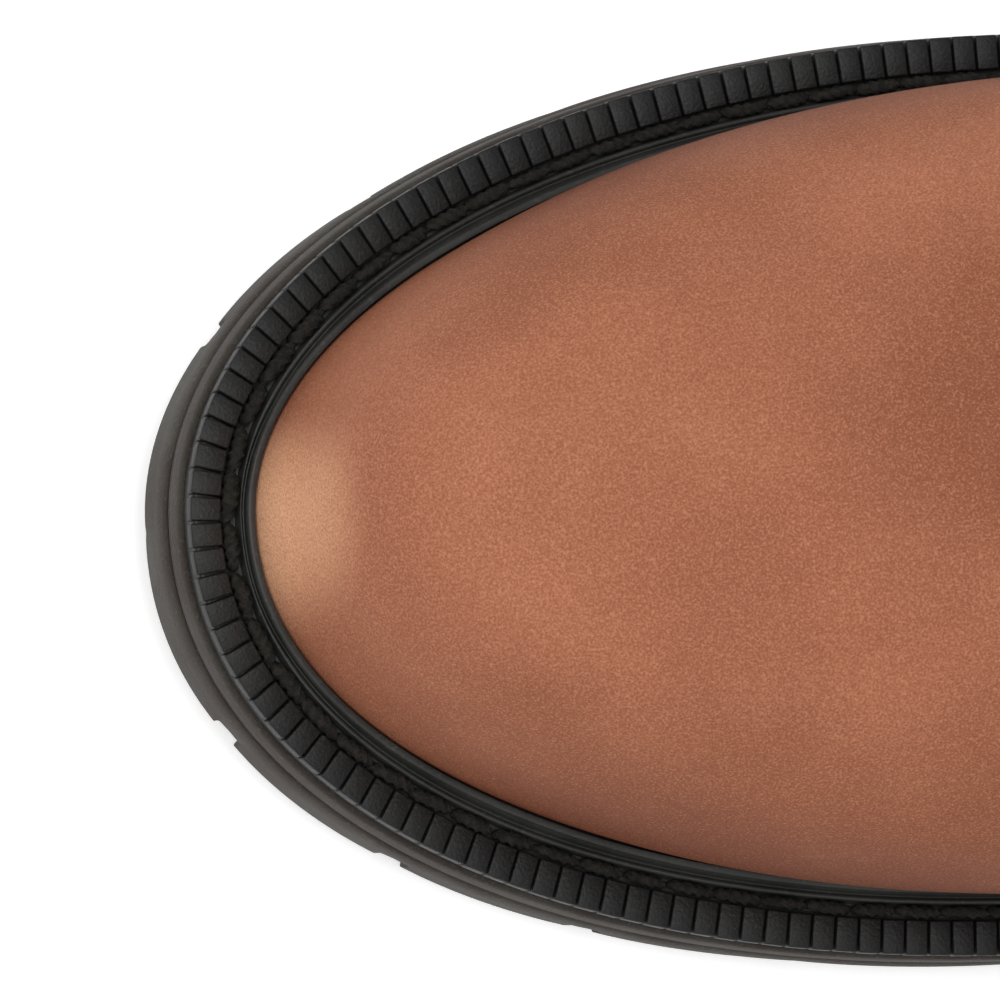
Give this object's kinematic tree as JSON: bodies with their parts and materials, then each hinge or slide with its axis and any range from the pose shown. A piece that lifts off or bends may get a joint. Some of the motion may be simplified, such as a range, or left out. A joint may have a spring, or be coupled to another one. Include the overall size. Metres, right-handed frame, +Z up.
{
  "type": "steel toe work boot",
  "caption": "Right pull-on work boot with a hidden steel toe cap, stitched storm welt, lugged outsole, stacked heel and folding pull loops.",
  "frame": {"origin": "on the ground under the middle of the outsole's box", "axes": "+X from toe to heel, +Y to the outer (little-toe) side, +Z up the shaft"},
  "size_m": [0.308, 0.116, 0.2889],
  "materials": {
    "upper_leather": "oiled nubuck, copper brown, fine mottled grain",
    "welt_rubber": "black moulded rubber, satin",
    "midsole_rubber": "near-black rubber, satin",
    "sole_rubber": "dark warm grey rubber, matt",
    "welt_thread": "waxed black twisted thread",
    "insole_board": "tan fibre board",
    "cork": "granulated cork",
    "hidden_steel": "pressed steel, dull",
    "nail_steel": "drawn steel",
    "foam": "textile-faced foam",
    "lining_textile": "woven textile lining",
    "trim": "dark brown leather strip",
    "webbing": "dark brown woven webbing"
  },
  "bodies": {
    "boot": {"outsole": "sole_rubber", "heel_base": "sole_rubber", "heel_top_lift": "sole_rubber", "midsole": "midsole_rubber", "storm_welt": "welt_rubber", "welt_thread": "welt_thread", "insole_board": "insole_board", "insole_rib": "insole_board", "heel_stiffener": "insole_board", "cork_filler": "cork", "steel_shank": "hidden_steel", "steel_toe_cap": "hidden_steel", "toe_cap_edge_strip": "foam", "footbed": "foam", "vamp": "upper_leather", "counter_cover": "upper_leather", "shaft_front": "upper_leather", "shaft_back": "upper_leather", "lining_front": "lining_textile", "lining_back": "lining_textile", "side_piping_lateral": "trim", "side_piping_medial": "trim", "collar_binding": "trim", "pull_loop_tail_lateral": "webbing", "pull_loop_tail_medial": "webbing", "heel_nail_1": "nail_steel", "heel_nail_2": "nail_steel", "heel_nail_3": "nail_steel", "heel_nail_4": "nail_steel", "heel_nail_5": "nail_steel"},
    "lateral_loop": {"pull_loop_lateral": "webbing"},
    "medial_loop": {"pull_loop_medial": "webbing"}
  },
  "joints": [
    {"name": "lateral_loop_fold", "type": "hinge", "parent": "boot", "child": "lateral_loop", "pos_m": [0.07773, 0.05125, 0.2649], "axis": [1, 0, 0], "range_deg": [-85, 70], "stiffness_Nm_per_rad": 0.03},
    {"name": "medial_loop_fold", "type": "hinge", "parent": "boot", "child": "medial_loop", "pos_m": [0.07773, -0.05125, 0.2649], "axis": [-1, 0, 0], "range_deg": [-85, 70], "stiffness_Nm_per_rad": 0.03}
  ]
}
